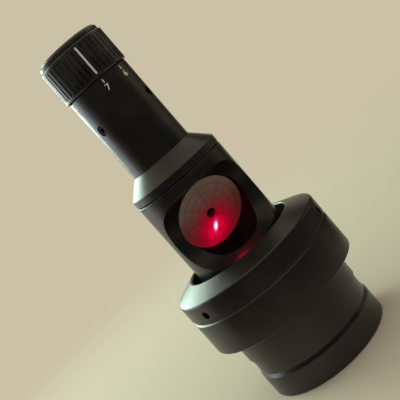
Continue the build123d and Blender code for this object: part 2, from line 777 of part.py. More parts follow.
def dimmer_knob():
    """Knurled knob with a skirt over the housing's spigot, a web and the coin cell's chamber."""
    skirt = spigot_radius + SLIDE_GAP
    knob = turned(
        [
            (skirt, knob_bottom),
            (knob_radius - EDGE_BREAK, knob_bottom),
            (knob_radius, knob_bottom + EDGE_BREAK),
            (knob_radius, knob_top - EDGE_BREAK),
            (knob_radius - EDGE_BREAK, knob_top),
            (rebate_radius, knob_top),
            (rebate_radius, seal_bottom - FACE_GAP),
            (cap_thread_radius, seal_bottom - FACE_GAP),
            (cap_thread_radius, plug_bottom - LOOSE_GAP),
            (chamber_radius, plug_bottom - LOOSE_GAP),
            (chamber_radius, web_top),
            (0, web_top),
            (0, web_bottom),
            (skirt, web_bottom),
        ]
    )
    clip_room = spigot_radius + CLIP_REACH + LOOSE_GAP
    knob -= tube(clip_room, skirt - CLIP_BITE, clip_bottom - LOOSE_GAP, clip_top + LOOSE_GAP)
    shaft_hole = flat_sided_rod(shaft_radius + THREAD_GAP, KNOB_WEB + 2 * CUT_PAST)
    knob -= Pos(0, 0, web_bottom - CUT_PAST) * shaft_hole
    side = KNURL_DEPTH * math.sqrt(2)
    flute_length = knob_top - knob_bottom - 2 * KNURL_MARGIN
    flute = Rot(0, 0, 45) * block_on(knob_bottom + KNURL_MARGIN, side, side, flute_length)
    return knob - [
        Rot(0, 0, azimuth) * Pos(knob_radius, 0, 0) * flute for azimuth in azimuths(0, KNURL_COUNT)
    ]


def cell_insulator():
    """Thin ring between the coin cell and the knob's web."""
    return tube(cell_radius, shaft_radius + LOOSE_GAP, web_top, cell_bottom)


def coin_cell():
    """Coin cell with a stepped negative face below."""
    step = cell_radius - 2 * CELL_RIM
    return turned(
        [
            (0, cell_bottom),
            (step, cell_bottom),
            (step, cell_bottom + CELL_RIM),
            (cell_radius - CELL_RIM, cell_bottom + CELL_RIM),
            (cell_radius, cell_bottom + 2 * CELL_RIM),
            (cell_radius, cell_top - EDGE_BREAK),
            (cell_radius - EDGE_BREAK, cell_top),
            (0, cell_top),
        ]
    )


def cell_spring():
    """Dished spring washer between the coin cell and the battery cap."""
    outer = CELL_SPRING_DIAMETER / 2
    inner = CELL_SPRING_HOLE / 2
    low = cell_top + FACE_GAP
    high = plug_bottom - FACE_GAP
    thick = CELL_SPRING_THICKNESS
    return turned([(outer, low), (outer, low + thick), (inner, high), (inner, high - thick)])


def cap_seal():
    """Rubber ring between the knob and the battery cap."""
    ring = tube(seal_outer_radius, seal_inner_radius, seal_bottom, seal_top)
    return fillet(ring.edges().filter_by(GeomType.CIRCLE), min(SEAL_ROUND, 0.4 * SEAL_THICKNESS))


def battery_cap():
    """Screwed cap over the coin cell, with a coin slot across its top."""
    bevel = 2 * EDGE_BREAK
    cap = turned(
        [
            (0, plug_bottom),
            (plug_radius - EDGE_BREAK, plug_bottom),
            (plug_radius, plug_bottom + EDGE_BREAK),
            (plug_radius, cap_bottom),
            (cap_radius, cap_bottom),
            (cap_radius, cap_top - bevel),
            (cap_radius - bevel, cap_top),
            (0, cap_top),
        ]
    )
    slot = extrude(SlotOverall(COIN_SLOT_LENGTH, COIN_SLOT_WIDTH), COIN_SLOT_DEPTH + CUT_PAST)
    return cap - Pos(0, 0, cap_top - COIN_SLOT_DEPTH) * slot


pieces = {
    "two_inch_barrel": two_inch_barrel(),
    "clamp_body": clamp_body(),
    "slip_washer": slip_washer(),
    "twist_ring": twist_ring(),
    "ring_screws": ring_screws(),
    "seat_washer": seat_washer(),
    "nose_barrel": nose_barrel(),
    "window_body": window_body(),
    "target_block": target_block(),
    "target_plate": target_plate(),
    "target_screws": target_screws(),
    "aperture_disc": aperture_disc(),
    "lock_collar": lock_collar(),
    "laser_housing": laser_housing(),
    "module_sleeve": module_sleeve(),
    "laser_diode": laser_diode(),
    "collimating_lens": collimating_lens(),
    "lens_nut": lens_nut(),
    "module_ring": module_ring(),
    "driver_board": driver_board(),
    "board_parts": board_parts(),
    "contact_pin": contact_pin(),
    "switch_wafer": switch_wafer(),
    "switch_shaft": switch_shaft(),
    "knob_clip": knob_clip(),
    "dimmer_knob": dimmer_knob(),
    "cell_insulator": cell_insulator(),
    "coin_cell": coin_cell(),
    "cell_spring": cell_spring(),
    "cap_seal": cap_seal(),
    "battery_cap": battery_cap(),
}
for number, azimuth in enumerate(azimuths(PIN_FIRST_AZIMUTH, PIN_COUNT), 1):
    pieces[f"clamp_pin_{number}"] = clamp_pin(azimuth)
for number, azimuth in enumerate(azimuths(ADJUST_SCREW_FIRST_AZIMUTH, ADJUST_SCREW_COUNT), 1):
    pieces[f"adjust_screw_{number}"] = adjust_screw(azimuth)

os.makedirs("parts", exist_ok=True)
for name, piece in pieces.items():
    solids = piece if isinstance(piece, list) else [piece]
    export_step(Compound(children=solids), f"parts/{name}.step")
print("overall height", round(cap_top, 2), "target centre height", round(target_centre, 2))
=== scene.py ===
import math

import bmesh
import bpy
from bpy.props import FloatProperty, FloatVectorProperty, IntProperty, PointerProperty
from mathutils import Matrix, Vector


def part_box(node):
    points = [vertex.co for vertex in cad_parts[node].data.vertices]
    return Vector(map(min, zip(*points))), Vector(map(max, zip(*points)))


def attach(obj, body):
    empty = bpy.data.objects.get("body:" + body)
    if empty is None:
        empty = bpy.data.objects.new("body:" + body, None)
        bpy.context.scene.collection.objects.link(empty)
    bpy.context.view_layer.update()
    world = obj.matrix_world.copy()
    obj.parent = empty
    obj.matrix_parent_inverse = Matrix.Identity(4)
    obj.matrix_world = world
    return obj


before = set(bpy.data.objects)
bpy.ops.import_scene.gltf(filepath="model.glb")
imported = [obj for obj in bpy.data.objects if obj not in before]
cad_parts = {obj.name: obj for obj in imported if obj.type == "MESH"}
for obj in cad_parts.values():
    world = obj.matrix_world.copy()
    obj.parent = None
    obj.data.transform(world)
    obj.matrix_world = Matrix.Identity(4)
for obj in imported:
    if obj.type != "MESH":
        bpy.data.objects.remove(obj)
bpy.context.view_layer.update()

bl_info = {
    "name": "Alignment laser",
    "version": (1, 0, 0),
    "blender": (4, 5, 0),
    "location": "3D View > Sidebar > Laser",
    "description": "Finishes, target print, dial and threads of a telescope alignment laser in its adapter",
    "category": "Object",
}

MM = 0.001

# Soft boxes: place and size in metres, roll in degrees, and whether they show in the gloss of the pieces
LAMPS = {
    "key": ((-0.35, 0.68, 0.37), (0.4, 0.58), -22, True),
    "sky": ((-0.66, 0.42, 0.16), (0.3, 0.3), 0, True),
    "fill": ((0.68, 0.1, 0.22), (0.25, 0.35), 0, True),
    "front": ((0.12, -0.7, 0.06), (0.4, 0.3), 0, False),
}

# Places read from the frame: the knob, the rims of the target plate and the window body, and the lower ends
# of the two threaded barrels
knob_low, knob_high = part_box("dimmer_knob")
plate_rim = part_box("target_plate")[1].x
body_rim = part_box("window_body")[1].x
barrel_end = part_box("two_inch_barrel")[0].z
nose_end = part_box("nose_barrel")[0].z


def linear(code):
    """Turns an sRGB hex colour into the linear values that the nodes take."""
    channels = [int(code[i:i + 2], 16) / 255 for i in (1, 3, 5)]
    return tuple(c / 12.92 if c <= 0.04045 else ((c + 0.055) / 1.055) ** 2.4 for c in channels)


def colour(name, code, description):
    """Declares a colour that a user may change."""
    return FloatVectorProperty(name=name, description=description, subtype="COLOR", size=3,
                               min=0.0, max=1.0, default=linear(code))


def length(name, millimetres, description):
    """Declares a length that a user may change."""
    return FloatProperty(name=name, description=description, subtype="DISTANCE", unit="LENGTH",
                         min=0.0, precision=5, default=millimetres * MM)


def offset(name, millimetres, description):
    """Declares a place along a line, which may lie on either side of its start."""
    return FloatProperty(name=name, description=description, subtype="DISTANCE", unit="LENGTH",
                         precision=5, default=millimetres * MM)


def angle(name, degrees, description):
    """Declares an angle that a user may change."""
    return FloatProperty(name=name, description=description, subtype="ANGLE", unit="ROTATION",
                         default=math.radians(degrees))


def power(name, watts, description):
    """Declares a lamp's power that a user may change."""
    return FloatProperty(name=name, description=description, unit="POWER", min=0.0, default=watts)


class LaserFinishes(bpy.types.PropertyGroup):
    """Colours of the laser's finishes."""

    oxide: colour("Black oxide", "#11100f", "Dyed oxide film on the turned aluminium parts")
    oxide_thin: colour("Thin oxide", "#222122", "The same film where it is thin or handled")
    oxide_worn: colour("Worn oxide", "#6d6a66", "Aluminium that shows through on sharp edges")
    matt_black: colour("Matt black", "#0e0d0c", "Blasted black film inside the laser")
    target_face: colour("Target face", "#7c7a72", "Printed grey of the target plate")
    target_line: colour("Target lines", "#66615b", "Printed rings and spokes of the target plate")
    glow: colour("Laser glow", "#dc0334", "Red light that the target scatters round the spot")
    halo: colour("Laser halo", "#e63880", "Rim of the spot, where the red begins to burn out")
    spot: colour("Laser spot", "#ffe6f4", "The spot itself, too bright to look red")
    dial_ink: colour("Dial ink", "#d9d6cd", "White ink of the dial and of the knob's index")
    soiled_ink: colour("Soiled ink", "#8f8c84", "The same ink where dirt has settled")
    nylon: colour("Nylon", "#1b1b1c", "Moulded black washers")
    pale_nylon: colour("Pale nylon", "#29292a", "Paler mottle of the washers")
    black_steel: colour("Blacked steel", "#1d1d1f", "Oxide-blacked screws")
    brass: colour("Brass", "#c8a45a", "Turned brass pins, sleeve and nut")
    dull_brass: colour("Dull brass", "#94713a", "The same brass where it has tarnished")
    gilt: colour("Gilt", "#e3bd62", "Gold plating on the diode and the contact pin")
    dull_gilt: colour("Dull gilt", "#b98f3e", "The same plating where it has dulled")
    steel: colour("Bright steel", "#b9bab8", "Nickel-bright steel of the clip, shaft, cell and spring")
    dull_steel: colour("Dull steel", "#8b8c8b", "The same steel where it has dulled")
    rubber: colour("Rubber", "#191918", "Moulded seal rings")
    pale_rubber: colour("Pale rubber", "#262625", "Paler mottle of the seal rings")
    glass: colour("Lens glass", "#f4fafc", "Ground and coated lens")
    board: colour("Board lacquer", "#1c5a34", "Green lacquer over the driver board's copper")
    tracks: colour("Board tracks", "#4f9a60", "The same lacquer where copper tracks lie under it")
    chip: colour("Chip epoxy", "#1a1b1d", "Moulded parts on the driver board")
    pale_chip: colour("Pale epoxy", "#2c2d2f", "Paler mottle of the moulded parts")
    wafer: colour("Switch wafer", "#5b4634", "Moulded phenolic of the rotary switch")
    pale_wafer: colour("Pale wafer", "#6d5642", "Paler mottle of the phenolic")
    film: colour("Insulator film", "#cfc7a2", "Polyester film round the coin cell")
    pale_film: colour("Pale film", "#ded8ba", "Paler mottle of the film")


class LaserMarks(bpy.types.PropertyGroup):
    """Sizes of the target print, the laser spot, the dial and the threads."""

    target_height: length("Target height", 67.5, "Height of the target's centre on the optical axis")
    target_hole: length("Target hole", 1.5, "Radius of the beam's hole in the target")
    hole_rim: length("Hole rim", 0.32, "Width of the dark edge round the target's hole")
    body_bore: length("Body bore", 13.45, "Radius of the window body's bore")
    sight_hole: length("Sight hole", 13.9, "Radius of the round hole from the window to the axis")
    ring_step: length("Target ring step", 2.72, "Distance from one printed ring to the next")
    spoke_count: IntProperty(name="Target spokes", description="Printed lines from the centre outwards",
                             min=2, default=8)
    line_width: length("Target line", 0.42, "Width of the printed rings and spokes")
    spot_right: offset("Spot across", -1.0, "The spot's place along X")
    spot_down: offset("Spot down", 8.1, "The spot's place down the tilted face")
    spot_length: length("Spot length", 4.4, "Long side of the spot")
    spot_width: length("Spot width", 1.5, "Short side of the spot")
    spot_turn: angle("Spot turn", 19.0, "How far the spot's long side turns from straight down the face")
    spot_power: FloatProperty(name="Spot power", description="Light of the spot's core, in times of the glow",
                              min=0.0, default=125.0)
    pool_right: offset("Pool across", -1.5, "The red pool's middle along X")
    pool_down: offset("Pool down", 9.5, "The red pool's middle down the tilted face")
    pool_length: length("Pool length", 15.6, "Long side of the red pool, to where it has halved")
    pool_width: length("Pool width", 11.2, "Short side of the red pool")
    pool_turn: angle("Pool turn", 11.0, "How far the pool's long side turns from straight down the face")
    dial_radius: length("Dial radius", 12.7, "Radius of the rear tube, which carries the dial")
    dial_steps: IntProperty(name="Dial steps", description="Brightness steps above off", min=1, default=7)
    dial_step_angle: angle("Dial step", 40.0, "Turn of the knob from one step to the next")
    dial_azimuth: angle("Dial start", 270.0, "Azimuth of the brightest step, where the index rests")
    dial_gap: length("Dial gap", 1.2, "Bare tube between the knob and the ticks")
    digit_gap: length("Digit gap", 0.7, "Bare tube between the ticks and the numbers")
    digit_height: length("Digit height", 2.3, "Height of the dial's numbers")
    tick_width: length("Tick width", 0.35, "Width of the dial's ticks")
    tick_length: length("Tick length", 1.5, "Length of the dial's ticks")
    ink_thickness: length("Ink thickness", 0.03, "How far the ink stands up from the tube")
    flute_depth: length("Flute depth", 0.45, "Depth of the knob's flutes, one of which holds the index")
    flute_margin: length("Flute margin", 1.2, "Plain rim above and below the knob's flutes")
    barrel_pitch: length("Barrel thread pitch", 0.75, "Pitch of the two inch filter thread")
    barrel_bore: length("Barrel thread bore", 23.6, "Radius of the two inch filter thread")
    barrel_ridge: length("Barrel thread ridge", 0.3, "How far the two inch filter thread stands up")
    nose_pitch: length("Nose thread pitch", 0.6, "Pitch of the nose's filter thread")
    nose_bore: length("Nose thread bore", 14.25, "Radius of the nose's filter thread")
    nose_ridge: length("Nose thread ridge", 0.2, "How far the nose's filter thread stands up")
    thread_start: length("Thread start", 0.5, "Plain stretch between the end of a barrel and its thread")
    thread_length: length("Thread length", 4.0, "Length of each filter thread")


class LaserStage(bpy.types.PropertyGroup):
    """The floor, the lamps and the camera."""

    paper: colour("Paper", "#cbc1a6", "Pale floor and backdrop")
    room_light: colour("Room light", "#d0cecb", "Even light from all round")
    key_light: colour("Key light", "#defff1", "Cool window light from behind on the left")
    key_power: power("Key power", 5.3, "Power of the window light")
    sky_light: colour("Sky light", "#d4deff", "Bluish light from the far left, a little behind")
    sky_power: power("Sky power", 0.8, "Power of the bluish light")
    fill_light: colour("Fill light", "#ffe2bd", "Warm room light from the right")
    fill_power: power("Fill power", 0.4, "Power of the warm light")
    front_light: colour("Front light", "#eef0ff", "Weak cool light that looks into the window")
    front_power: power("Front power", 0.3, "Power of the light from the front")
    floor_radius: length("Floor radius", 6000.0, "Radius of the paper floor")
    card: colour("Dark card", "#3c3936", "Dark felt in front of the object, which keeps its near side dark")
    card_radius: length("Card radius", 120.0, "Distance of the card from the optical axis")
    card_height: length("Card height", 170.0, "Height of the card above the floor")
    card_start: angle("Card start", 182.0, "Azimuth of the card's left end")
    card_foot: angle("Card foot", 212.0, "Angle that the card's lower edge spans")
    card_top: angle("Card top", 238.0, "Angle that the card's upper edge spans, past a slanted right end")
    camera_azimuth: angle("Camera azimuth", -8.5, "Turn of the camera from straight in front")
    camera_roll: angle("Camera roll", -41.2, "Tilt of the camera about its own view line")
    camera_distance: length("Camera distance", 283.0, "Distance of the camera from the optical axis")
    camera_height: length("Camera height", 110.5, "Height of the camera")
    aim_height: length("Aim height", 73.7, "Height of the point on the axis that the camera looks at")
    lens: FloatProperty(name="Lens", description="Focal length for a 36 mm sensor, in millimetres",
                        min=1.0, default=70.5)


def join(tree, node, values=None, links=None):
    """Sets a node's input values and links sockets into it."""
    for socket, value in (values or {}).items():
        node.inputs[socket].default_value = value
    for socket, source in (links or {}).items():
        tree.links.new(source, node.inputs[socket])


def add(tree, kind, values=None, links=None, **settings):
    """Adds one node with its settings, input values and links."""
    node = tree.nodes.new(kind)
    for name, value in settings.items():
        setattr(node, name, value)
    join(tree, node, values, links)
    return node


def blank(name):
    """Starts a material: its tree, its shader and the object's own coordinates."""
    material = bpy.data.materials.new(name)
    material.use_nodes = True
    tree = material.node_tree
    tree.nodes.clear()
    shader = add(tree, "ShaderNodeBsdfPrincipled")
    add(tree, "ShaderNodeOutputMaterial", links={"Surface": shader.outputs["BSDF"]})
    place = add(tree, "ShaderNodeTexCoord").outputs["Object"]
    return material, tree, shader, place


def axis_distance(tree, place):
    """Gives the distance from the optical axis."""
    flat = add(tree, "ShaderNodeVectorMath", {1: (1.0, 1.0, 0.0)}, {0: place}, operation="MULTIPLY")
    return add(tree, "ShaderNodeVectorMath", links={0: flat.outputs[0]}, operation="LENGTH").outputs["Value"]


def turned_profile(tree, place, radius):
    """Gives the distance from the axis and the height as one vector, as a lathe tool meets them."""
    height = add(tree, "ShaderNodeSeparateXYZ", links={0: place}).outputs["Z"]
    return add(tree, "ShaderNodeCombineXYZ", links={"X": radius, "Z": height}).outputs[0]


def worn_edges(tree, width):
    """Gives 1 along sharp edges and 0 on open faces, from how far a rounded normal turns away."""
    rounded = add(tree, "ShaderNodeBevel", {"Radius": width}, samples=4)
    plain = add(tree, "ShaderNodeNewGeometry")
    alike = add(tree, "ShaderNodeVectorMath", links={0: rounded.outputs[0], 1: plain.outputs["Normal"]},
                operation="DOT_PRODUCT")
    return add(tree, "ShaderNodeMapRange", {"From Min": 0.985, "From Max": 0.86},
               {"Value": alike.outputs["Value"]}).outputs["Result"]


def mottled(tree, first, second, pattern, low, high, share=1.0):
    """Blends a share of a second colour into the first, from a pattern's low value up to its high one."""
    blend = add(tree, "ShaderNodeMapRange", {"From Min": low, "From Max": high, "To Max": share},
                {"Value": pattern})
    return add(tree, "ShaderNodeMix", {6: (*first, 1), 7: (*second, 1)}, {0: blend.outputs["Result"]},
               data_type="RGBA").outputs[2]


def grained(tree, shader, pattern, roughness, spread, strength, depth=0.02 * MM):
    """Makes a surface rougher and higher where a pattern is strong."""
    rough = add(tree, "ShaderNodeMapRange", {"To Min": roughness - spread, "To Max": roughness + spread},
                {"Value": pattern})
    bump = add(tree, "ShaderNodeBump", {"Strength": strength, "Distance": depth}, {"Height": pattern})
    join(tree, shader, links={"Roughness": rough.outputs["Result"], "Normal": bump.outputs[0]})


def coat(material, *names):
    """Gives CAD pieces one material."""
    for name in names:
        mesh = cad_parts[name].data
        mesh.materials.clear()
        mesh.materials.append(material)


def mesh_object(name, made, material):
    """Turns a finished bmesh into an object of one material."""
    mesh = bpy.data.meshes.new(name)
    made.to_mesh(mesh)
    made.free()
    mesh.materials.append(material)
    shape = bpy.data.objects.new(name, mesh)
    bpy.context.scene.collection.objects.link(shape)
    return shape


def face_outward(made):
    """Turns the faces of each island of a bmesh outwards, by the sign of the volume that the island holds."""
    # This makes an island's faces agree, but it may leave a thin number inside out
    bmesh.ops.recalc_face_normals(made, faces=made.faces[:])
    made.normal_update()
    seen = set()
    for start in made.faces:
        if start in seen:
            continue
        seen.add(start)
        island = [start]
        for face in island:
            near = {other for edge in face.edges for other in edge.link_faces} - seen
            seen |= near
            island.extend(near)
        origin = start.calc_center_median()
        volume = sum(face.calc_area() * face.normal.dot(face.calc_center_median() - origin) for face in island)
        if volume < 0:
            bmesh.ops.reverse_faces(made, faces=island)


def new_piece(name, made, material, body):
    """Turns a finished bmesh into a piece that rides on a body."""
    face_outward(made)
    piece = mesh_object(name, made, material)
    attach(piece, body)


def window_faces(tree, radius, place, marks):
    """Gives 1 on the faces of the milled window, and 1 in its bore and sight hole, which were left matt."""
    margin = 0.05 * MM
    # The hole's own wall stays well inside the tube's outer face
    wall_reach = 1.12 * marks.sight_hole
    milled = add(tree, "ShaderNodeMath", {1: body_rim - 2 * margin}, {0: radius}, operation="LESS_THAN")
    bore = add(tree, "ShaderNodeMath", {1: marks.body_bore + margin}, {0: radius}, operation="LESS_THAN")
    flat = add(tree, "ShaderNodeVectorMath", {1: (1.0, 0.0, 1.0), 2: (0.0, 0.0, -marks.target_height)},
               {0: place}, operation="MULTIPLY_ADD")
    away = add(tree, "ShaderNodeVectorMath", links={0: flat.outputs[0]}, operation="LENGTH")
    hole = add(tree, "ShaderNodeMath", {1: marks.sight_hole + margin}, {0: away.outputs["Value"]},
               operation="LESS_THAN")
    inner = add(tree, "ShaderNodeMath", {1: wall_reach}, {0: radius}, operation="LESS_THAN")
    wall = add(tree, "ShaderNodeMath", links={0: hole.outputs[0], 1: inner.outputs[0]}, operation="MULTIPLY")
    inside = add(tree, "ShaderNodeMath", links={0: wall.outputs[0], 1: bore.outputs[0]}, operation="MAXIMUM")
    return milled.outputs[0], inside.outputs[0]


def oxide_film(tree, look, cloud, wear):
    """Gives the film's colour: paler in patches where it is thin, and grey where sharp edges have worn."""
    scuffed = add(tree, "ShaderNodeMapRange", {"From Min": 0.42, "From Max": 0.62, "To Max": wear},
                  {"Value": cloud})
    worn = add(tree, "ShaderNodeMath", links={0: worn_edges(tree, 0.35 * MM), 1: scuffed.outputs["Result"]},
               operation="MULTIPLY")
    film = mottled(tree, look.oxide, look.oxide_thin, cloud, 0.45, 0.8, 0.5)
    return add(tree, "ShaderNodeMix", {7: (*look.oxide_worn, 1)}, {0: worn.outputs[0], 6: film},
               data_type="RGBA").outputs[2]


def black_anodised(name, look, wear, matt_bore=0.0, window=None):
    """Aluminium turned on a lathe, then anodised and dyed black, and left matt within a bore or a window."""
    # The clear oxide film gives a soft satin gleam over a warm black. Turning rings show in the gleam,
    # handling leaves cloudy patches, and the film is thin and grey on sharp edges.
    material, tree, shader, place = blank(name)
    radius = axis_distance(tree, place)
    # A lathe feeds about 0.1 mm a turn, which is too fine to show, so the rings are drawn at 0.5 mm
    rings = add(tree, "ShaderNodeTexNoise", {"Scale": 1 / (0.5 * MM), "Detail": 2.0},
                {"Vector": turned_profile(tree, place, radius)}).outputs["Fac"]
    cloud = add(tree, "ShaderNodeTexNoise", {"Scale": 1 / (9 * MM), "Detail": 5.0, "Roughness": 0.6},
                {"Vector": place}).outputs["Fac"]
    dust = add(tree, "ShaderNodeTexNoise", {"Scale": 1 / (0.6 * MM), "Detail": 1.0}, {"Vector": place})
    gleam = add(tree, "ShaderNodeMapRange", {"From Min": 0.3, "From Max": 0.7, "To Min": 0.3, "To Max": 0.38},
                {"Value": cloud})
    grain = add(tree, "ShaderNodeMapRange", {"To Min": -0.05, "To Max": 0.05}, {"Value": rings})
    satin = add(tree, "ShaderNodeMath", links={0: gleam.outputs["Result"], 1: grain.outputs["Result"]},
                operation="ADD").outputs[0]
    # Painted shade: the gleam is cut in grooves, creases and the seams between parts, wherever nearby surfaces
    # hem a point in
    open_sky = add(tree, "ShaderNodeAmbientOcclusion", {"Distance": 0.9 * MM}, samples=8)
    gleam_shaded_in_grooves = add(tree, "ShaderNodeMapRange", {"From Min": 0.35, "From Max": 0.8, "To Max": 0.5},
                {"Value": open_sky.outputs["AO"]})
    if window:
        # The cutter leaves a duller face than the lathe
        milled, matt = window_faces(tree, radius, place, window)
        satin = add(tree, "ShaderNodeMath", {1: 0.06}, {0: milled, 2: satin},
                    operation="MULTIPLY_ADD").outputs[0]
        gloss = add(tree, "ShaderNodeMapRange", {"To Min": 0.5, "To Max": 0.36}, {"Value": milled})
        join(tree, gleam_shaded_in_grooves, links={"To Max": gloss.outputs["Result"]})
    else:
        matt = add(tree, "ShaderNodeMath", {1: matt_bore}, {0: radius}, operation="LESS_THAN").outputs[0]
    rough = add(tree, "ShaderNodeMix", {3: 0.8}, {0: matt, 2: satin})
    relief = add(tree, "ShaderNodeMath", {1: 0.25}, {0: dust.outputs["Fac"], 2: rings},
                 operation="MULTIPLY_ADD")
    bump = add(tree, "ShaderNodeBump", {"Strength": 0.12, "Distance": 0.02 * MM},
               {"Height": relief.outputs[0]})
    join(tree, shader, {"IOR": 1.6},
         {"Base Color": oxide_film(tree, look, cloud, wear), "Roughness": rough.outputs[0],
          "Specular IOR Level": gleam_shaded_in_grooves.outputs["Result"], "Normal": bump.outputs[0]})
    return material


def blasted_black(name, look):
    """Aluminium blasted with fine grit, then anodised black."""
    # The pitted face scatters nearly all light, so it stays dark and even from every side.
    material, tree, shader, place = blank(name)
    # The pits are under 0.1 mm wide, which is too fine to show, so they are drawn at 0.25 mm
    pits = add(tree, "ShaderNodeTexNoise", {"Scale": 1 / (0.25 * MM), "Detail": 3.0}, {"Vector": place})
    cloud = add(tree, "ShaderNodeTexNoise", {"Scale": 1 / (5 * MM), "Detail": 3.0}, {"Vector": place})
    shade = mottled(tree, look.matt_black, look.oxide_thin, cloud.outputs["Fac"], 0.4, 1.0, 0.35)
    join(tree, shader, links={"Base Color": shade})
    grained(tree, shader, pits.outputs["Fac"], roughness=0.75, spread=0.1, strength=0.25)
    return material


def target_lines(tree, radius, place, marks):
    """Gives 1 on the target's printed rings and spokes and 0 between them."""
    apart = add(tree, "ShaderNodeSeparateXYZ", links={0: place})
    turn = add(tree, "ShaderNodeMath", links={0: apart.outputs["Y"], 1: apart.outputs["X"]},
               operation="ARCTAN2")
    ring = add(tree, "ShaderNodeMath", {1: marks.ring_step / 2}, {0: radius}, operation="PINGPONG")
    sweep = add(tree, "ShaderNodeMath", {1: math.pi / marks.spoke_count}, {0: turn.outputs[0]},
                operation="PINGPONG")
    spoke = add(tree, "ShaderNodeMath", links={0: sweep.outputs[0], 1: radius}, operation="MULTIPLY")
    nearest = add(tree, "ShaderNodeMath", links={0: ring.outputs[0], 1: spoke.outputs[0]},
                  operation="MINIMUM")
    soft = 0.08 * MM
    return add(tree, "ShaderNodeMapRange",
               {"From Min": marks.line_width / 2 + soft, "From Max": marks.line_width / 2 - soft},
               {"Value": nearest.outputs[0]}).outputs["Result"]


def across_face(tree, place, middle, turn, wide, tall):
    """Gives the distance from a point of the tilted face, counted in half-sizes of an ellipse drawn on it."""
    down = Vector((0, 1, -1)).normalized()
    right = Vector((1, 0, 0))
    along = math.cos(turn) * down - math.sin(turn) * right
    aside = math.cos(turn) * right + math.sin(turn) * down
    axes = Matrix((aside, along, aside.cross(along))).transposed().to_euler()
    centre = middle[0] * right + middle[1] * down + Vector((0, 0, middle[2]))
    local = add(tree, "ShaderNodeMapping",
                {"Location": centre, "Rotation": axes, "Scale": (wide / 2, tall / 2, tall / 2)},
                {"Vector": place}, vector_type="TEXTURE")
    return add(tree, "ShaderNodeVectorMath", links={0: local.outputs[0]}, operation="LENGTH").outputs["Value"]


def red_pool(tree, place, line, marks):
    """Gives how strongly the face scatters the laser's red, in grains that fade from the pool's middle."""
    out = across_face(tree, place, (marks.pool_right, marks.pool_down, marks.target_height), marks.pool_turn,
                      marks.pool_width, marks.pool_length)
    steep = add(tree, "ShaderNodeMath", {1: 2.9}, {0: out}, operation="POWER")
    fall = add(tree, "ShaderNodeMath", {1: 1.0}, {0: steep.outputs[0]}, operation="ADD")
    # Laser speckle is finer than a hair, so it is drawn as grains of 1.3 mm, and printed lines take some of it
    grains = add(tree, "ShaderNodeTexNoise", {"Scale": 1 / (1.3 * MM), "Detail": 3.0, "Roughness": 0.7},
                 {"Vector": place})
    speckle = add(tree, "ShaderNodeMapRange",
                  {"From Min": 0.3, "From Max": 0.7, "To Min": 0.65, "To Max": 1.4},
                  {"Value": grains.outputs["Fac"]})
    dimmed = add(tree, "ShaderNodeMapRange", {"To Min": 1.0, "To Max": 0.7}, {"Value": line})
    scatter = add(tree, "ShaderNodeMath", links={0: speckle.outputs["Result"], 1: dimmed.outputs["Result"]},
                  operation="MULTIPLY")
    return add(tree, "ShaderNodeMath", links={0: scatter.outputs[0], 1: fall.outputs[0]},
               operation="DIVIDE").outputs[0]


def laser_light(tree, place, pool, look, marks):
    """Gives the light that leaves the face: the red pool, and the spot that burns out to white in it."""
    lit = add(tree, "ShaderNodeMix", {6: (0, 0, 0, 1), 7: (*look.glow, 1)}, {0: pool}, data_type="RGBA")
    out = across_face(tree, place, (marks.spot_right, marks.spot_down, marks.target_height), marks.spot_turn,
                      marks.spot_width, marks.spot_length)
    for tint, first, last in ((look.halo, 2.2, 1.0), (look.spot, 1.2, 0.72)):
        burn = add(tree, "ShaderNodeMapRange", {"From Min": first, "From Max": last}, {"Value": out},
                   interpolation_type="SMOOTHSTEP")
        lit = add(tree, "ShaderNodeMix", {7: (*tint, 1)}, {0: burn.outputs["Result"], 6: lit.outputs[2]},
                  data_type="RGBA")
    # The red of the spot's core is far past white, which shows only in what it lights
    core = add(tree, "ShaderNodeMapRange", {"From Min": 0.95, "From Max": 0.6}, {"Value": out})
    return add(tree, "ShaderNodeMix", {7: (*[marks.spot_power * c for c in look.glow], 1)},
               {0: core.outputs["Result"], 6: lit.outputs[2]}, data_type="RGBA", blend_type="ADD").outputs[2]


def cut_sides(tree, radius, marks):
    """Gives 1 on the plate's rim and round its hole, which carry no print, and 0 on the face between them."""
    rim = add(tree, "ShaderNodeMath", {1: plate_rim - 0.06 * MM}, {0: radius}, operation="GREATER_THAN")
    hole = add(tree, "ShaderNodeMath", {1: marks.target_hole + marks.hole_rim}, {0: radius},
               operation="LESS_THAN")
    return add(tree, "ShaderNodeMath", links={0: rim.outputs[0], 1: hole.outputs[0]},
               operation="MAXIMUM").outputs[0]


